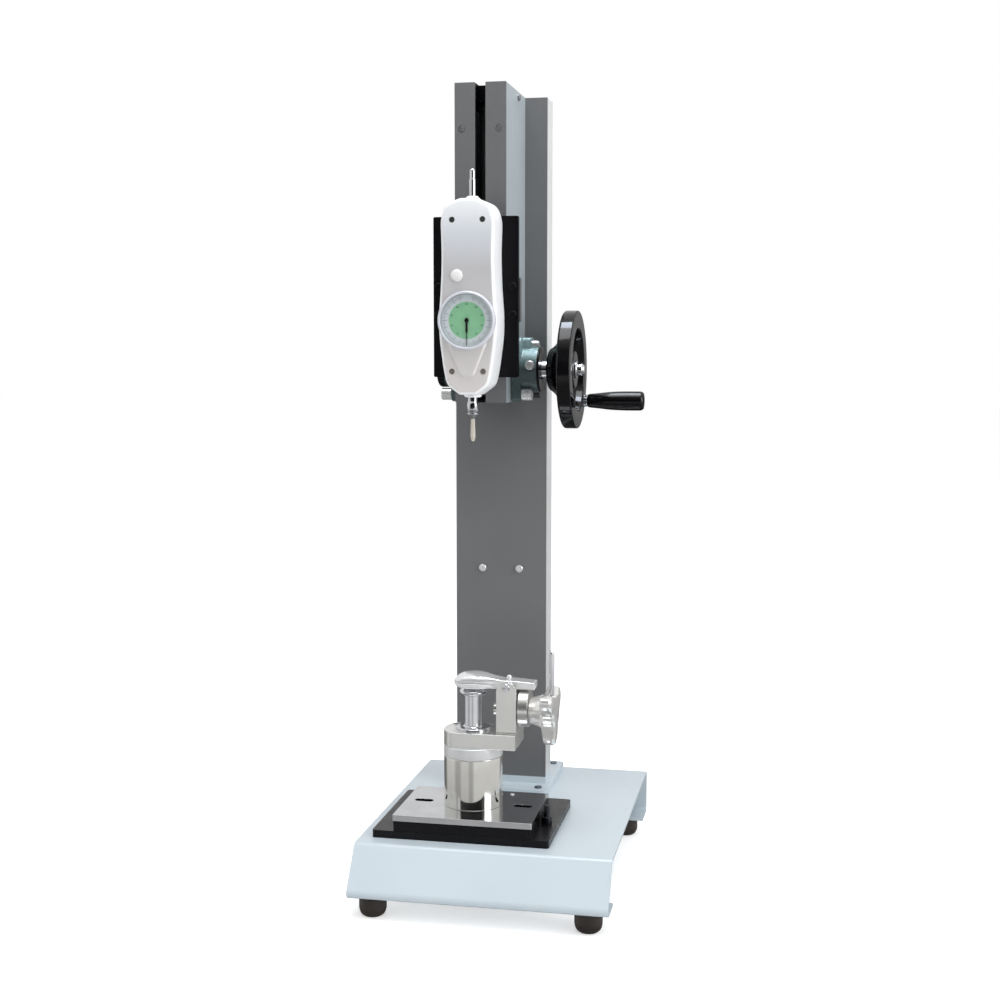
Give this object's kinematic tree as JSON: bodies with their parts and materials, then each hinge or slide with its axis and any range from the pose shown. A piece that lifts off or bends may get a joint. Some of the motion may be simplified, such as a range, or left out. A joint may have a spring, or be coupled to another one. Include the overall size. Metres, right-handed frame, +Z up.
{
  "type": "force test stand with dial gauge",
  "caption": "Column test stand with a hand-wheel driven screw slide carrying a dial force gauge with hook over a cam-operated sample clamp.",
  "frame": {"origin": "centre of the footprint box, at the height of the undersides of the rubber feet", "axes": "+Z up along the column, +X to the right as seen from the front, where the handwheel is, +Y from the front apron to the column"},
  "size_m": [0.2695, 0.352, 0.842],
  "materials": {
    "paint": "satin light blue-grey paint",
    "side_paint": "satin light grey paint",
    "dark_paint": "matt dark grey paint",
    "rubber": "moulded black rubber",
    "dark_steel": "blackened steel",
    "steel": "bright plated steel",
    "ground_steel": "ground steel",
    "satin_steel": "satin ground steel",
    "casting": "hammered green enamel on a casting",
    "black_enamel": "black enamel",
    "bronze": "machined bronze",
    "black_plastic": "polished black phenolic",
    "aluminium": "milled aluminium",
    "white_plastic": "fine-textured white ABS",
    "bezel_plastic": "silver-white plastic",
    "dial_print": "printed dial, green centre and grey scale ring",
    "window": "clear window"
  },
  "bodies": {
    "stand": {"base_channel": "paint", "rubber_feet": "rubber", "frame_screws": "dark_steel", "column": "side_paint", "column_panel": "dark_paint", "pan_screws": "steel", "slide_housing": "side_paint", "slide_strips": "dark_paint", "housing_caps": "dark_paint", "screw_bearings": "ground_steel", "bearing_block": "aluminium", "guide_rods": "ground_steel", "gearbox_case": "casting", "gearbox_cheek": "casting", "gearbox_screws": "steel", "boss_caps": "black_enamel", "shaft_bushes": "bronze", "fixture_base": "black_enamel", "spacer_plate": "black_enamel", "fixture_plate": "steel", "lock_knob": "dark_steel", "pedestal": "steel", "pedestal_ring": "satin_steel", "clamp_block": "satin_steel", "anvil_stem": "steel", "pivot_post": "satin_steel", "pivot_pin": "steel"},
    "wheel": {"wheel_shaft": "steel", "drive_gear": "ground_steel", "handwheel": "black_plastic", "wheel_nut": "steel", "crank_spindle": "steel"},
    "grip": {"crank_grip": "black_plastic"},
    "screw": {"lead_screw": "ground_steel", "driven_gear": "ground_steel"},
    "carrier": {"carriage": "aluminium", "carriage_nut": "bronze", "gauge_plate": "black_enamel", "gauge_back_shell": "white_plastic", "gauge_front_shell": "white_plastic", "gauge_screws": "dark_steel", "gauge_chassis": "ground_steel", "gauge_bushes": "bronze", "lower_spring": "ground_steel", "upper_spring": "ground_steel"},
    "measuring_shaft": {"gauge_shaft": "steel", "gauge_rack": "bronze", "hook_coupling": "steel", "test_hook": "steel"},
    "pointer_arbor": {"pointer_pinion": "bronze", "pointer": "black_enamel"},
    "dial": {"bezel_ring": "bezel_plastic", "dial_face": "dial_print", "dial_glass": "window"},
    "button": {"peak_button": "white_plastic"},
    "rocker": {"rocker_arm": "steel", "clamp_foot": "steel"},
    "cam": {"cam_shaft": "ground_steel", "lobed_knob": "steel", "lever_rod": "steel"}
  },
  "joints": [
    {"name": "wheel_turn", "type": "hinge", "parent": "stand", "child": "wheel", "pos_m": [-0.0285, 0.018, 0.5475], "axis": [1, 0, 0], "range_deg": [-360, 4680]},
    {"name": "crank_grip_spin", "type": "hinge", "parent": "wheel", "child": "grip", "pos_m": [0.073, 0.05457, 0.5134], "axis": [1, 0, 0], "continuous": true},
    {"name": "lead_screw_turn", "type": "hinge", "parent": "stand", "child": "screw", "pos_m": [-0.0285, 0.018, 0], "axis": [0, 0, 1], "range_deg": [-4690, 370]},
    {"name": "carriage_travel", "type": "slide", "parent": "stand", "child": "carrier", "axis": [0, 0, 1], "range_m": [-0.0101, 0.1301]},
    {"name": "shaft_travel", "type": "slide", "parent": "carrier", "child": "measuring_shaft", "axis": [0, 0, 1], "range_m": [-0.009, 0.009], "stiffness_N_per_m": 3000, "deforming": ["lower_spring", "upper_spring"]},
    {"name": "pointer_turn", "type": "hinge", "parent": "carrier", "child": "pointer_arbor", "pos_m": [-0.0285, -0.08125, 0.5979], "axis": [0, 1, 0], "range_deg": [-175, 175]},
    {"name": "bezel_zero_turn", "type": "hinge", "parent": "carrier", "child": "dial", "pos_m": [-0.0285, -0.09125, 0.5979], "axis": [0, 1, 0], "range_deg": [-180, 180]},
    {"name": "peak_button_press", "type": "slide", "parent": "carrier", "child": "button", "axis": [0, 1, 0], "range_m": [0, 0.0025], "stiffness_N_per_m": 400},
    {"name": "cam_knob_turn", "type": "hinge", "parent": "stand", "child": "cam", "pos_m": [0.0315, -0.0656, 0.1967], "axis": [1, 0, 0], "range_deg": [0, 180]},
    {"name": "rocker_tilt", "type": "hinge", "parent": "stand", "child": "rocker", "pos_m": [0.0097, -0.0656, 0.2232], "axis": [0, 1, 0], "range_deg": [0, 15.3]}
  ],
  "couplings": [
    {"joint": "lead_screw_turn", "follows": "wheel_turn", "ratio": -1},
    {"joint": "carriage_travel", "follows": "wheel_turn", "m_per_rad": 0.0015915},
    {"joint": "pointer_turn", "follows": "shaft_travel", "rad_per_m": -333.33},
    {"joint": "rocker_tilt", "follows": "cam_knob_turn", "ratio": 0.084444}
  ]
}
